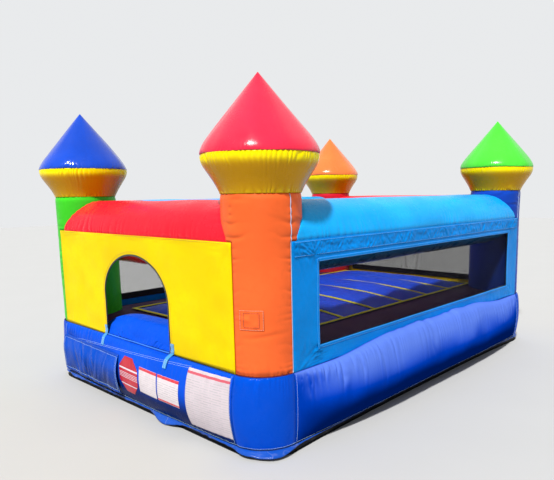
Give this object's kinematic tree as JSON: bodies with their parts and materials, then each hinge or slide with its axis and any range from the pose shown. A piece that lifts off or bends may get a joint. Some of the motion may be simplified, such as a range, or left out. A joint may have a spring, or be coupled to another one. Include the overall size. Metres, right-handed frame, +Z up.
{
  "type": "inflatable bounce house",
  "caption": "Open-top inflatable bounce house with round corner turrets, netted windows, an arched door, a channelled jump bed and a zip cover.",
  "frame": {"origin": "on the ground, under the centre of the four columns", "axes": "+Z up, the door faces -Y, +X to the right seen from the door side"},
  "size_m": [3.0834, 4.5662, 2.334],
  "materials": {
    "pvc_blue": "glossy PVC-coated fabric",
    "pvc_bed_blue": "PVC-coated fabric, satin",
    "pvc_yellow": "glossy PVC-coated fabric",
    "pvc_bright_yellow": "PVC-coated fabric, satin",
    "pvc_red": "glossy PVC-coated fabric",
    "pvc_orange": "PVC-coated fabric, satin",
    "pvc_green": "glossy PVC-coated fabric",
    "pvc_royal_blue": "glossy PVC-coated fabric",
    "pvc_light_blue": "PVC-coated fabric, satin",
    "pvc_black": "heavy PVC-coated fabric, matt",
    "netting": "knotless black netting",
    "webbing": "woven webbing",
    "zip": "woven zip tape with moulded teeth",
    "steel": "polished zinc-plated steel",
    "label_red": "printed vinyl patch",
    "label_white": "printed vinyl patch",
    "sleeve_fabric": "light coated fabric"
  },
  "bodies": {
    "house": {"anchor_loop_left_front": "webbing", "anchor_loop_left_rear": "webbing", "anchor_loop_rear_left": "webbing", "anchor_loop_rear_right": "webbing", "base_corner_front_left": "pvc_blue", "base_corner_front_right": "pvc_blue", "base_corner_rear_left": "pvc_blue", "base_corner_rear_right": "pvc_blue", "base_front": "pvc_blue", "base_left": "pvc_blue", "base_rear": "pvc_blue", "base_right": "pvc_blue", "base_rim": "pvc_blue", "beam_front": "pvc_red", "beam_left": "pvc_light_blue", "beam_rear": "pvc_red", "beam_right": "pvc_light_blue", "bed_baffle_1": "pvc_blue", "bed_baffle_2": "pvc_blue", "bed_baffle_3": "pvc_blue", "bed_baffle_4": "pvc_blue", "bed_baffle_5": "pvc_blue", "bed_baffle_6": "pvc_blue", "bed_seam_strips": "pvc_yellow", "column_front_left": "pvc_green", "column_front_right": "pvc_orange", "column_patch": "pvc_orange", "column_rear_left": "pvc_red", "column_rear_right": "pvc_royal_blue", "door_step": "pvc_blue", "door_tab_left": "webbing", "door_tab_right": "webbing", "ground_sheet": "pvc_black", "inflation_sleeve": "sleeve_fabric", "jump_bed": "pvc_bed_blue", "label_large": "label_white", "label_octagon": "label_red", "label_twin": "label_white", "turret_bowl_front_left": "pvc_yellow", "turret_bowl_front_right": "pvc_yellow", "turret_bowl_rear_left": "pvc_yellow", "turret_bowl_rear_right": "pvc_yellow", "turret_cone_front_left": "pvc_royal_blue", "turret_cone_front_right": "pvc_red", "turret_cone_rear_left": "pvc_orange", "turret_cone_rear_right": "pvc_green", "wall_front": "pvc_bright_yellow", "wall_left": "pvc_light_blue", "wall_rear": "pvc_bright_yellow", "wall_right": "pvc_light_blue", "window_mesh_left": "netting", "window_mesh_rear": "netting", "window_mesh_right": "netting", "zip_tape": "zip"},
    "zip_flap": {"zip_flap": "pvc_blue"},
    "zip_slider": {"zip_slider": "steel"},
    "anchor_ring_left_rear": {"anchor_ring_left_rear": "steel"},
    "anchor_ring_left_front": {"anchor_ring_left_front": "steel"},
    "anchor_ring_rear_right": {"anchor_ring_rear_right": "steel"},
    "anchor_ring_rear_left": {"anchor_ring_rear_left": "steel"}
  },
  "joints": [
    {"name": "zip_flap_hinge", "type": "hinge", "parent": "house", "child": "zip_flap", "pos_m": [-1.15, -1.9903, 0.41], "axis": [-0.999, 0.0449, 0], "range_deg": [0, 150]},
    {"name": "zip_slider_slide", "type": "slide", "parent": "house", "child": "zip_slider", "axis": [0.9986, -0.0535, 0], "range_m": [0, 0.8]},
    {"name": "anchor_ring_left_rear_hinge", "type": "hinge", "parent": "house", "child": "anchor_ring_left_rear", "pos_m": [-1.4474, 1.1, 0.0055], "axis": [0, 1, 0], "range_deg": [0, 100]},
    {"name": "anchor_ring_left_front_hinge", "type": "hinge", "parent": "house", "child": "anchor_ring_left_front", "pos_m": [-1.4474, -1.1, 0.0055], "axis": [0, 1, 0], "range_deg": [0, 100]},
    {"name": "anchor_ring_rear_right_hinge", "type": "hinge", "parent": "house", "child": "anchor_ring_rear_right", "pos_m": [0.75, 2.0149, 0.0055], "axis": [1, 0, 0], "range_deg": [0, 100]},
    {"name": "anchor_ring_rear_left_hinge", "type": "hinge", "parent": "house", "child": "anchor_ring_rear_left", "pos_m": [-0.75, 2.0149, 0.0055], "axis": [1, 0, 0], "range_deg": [0, 100]}
  ]
}
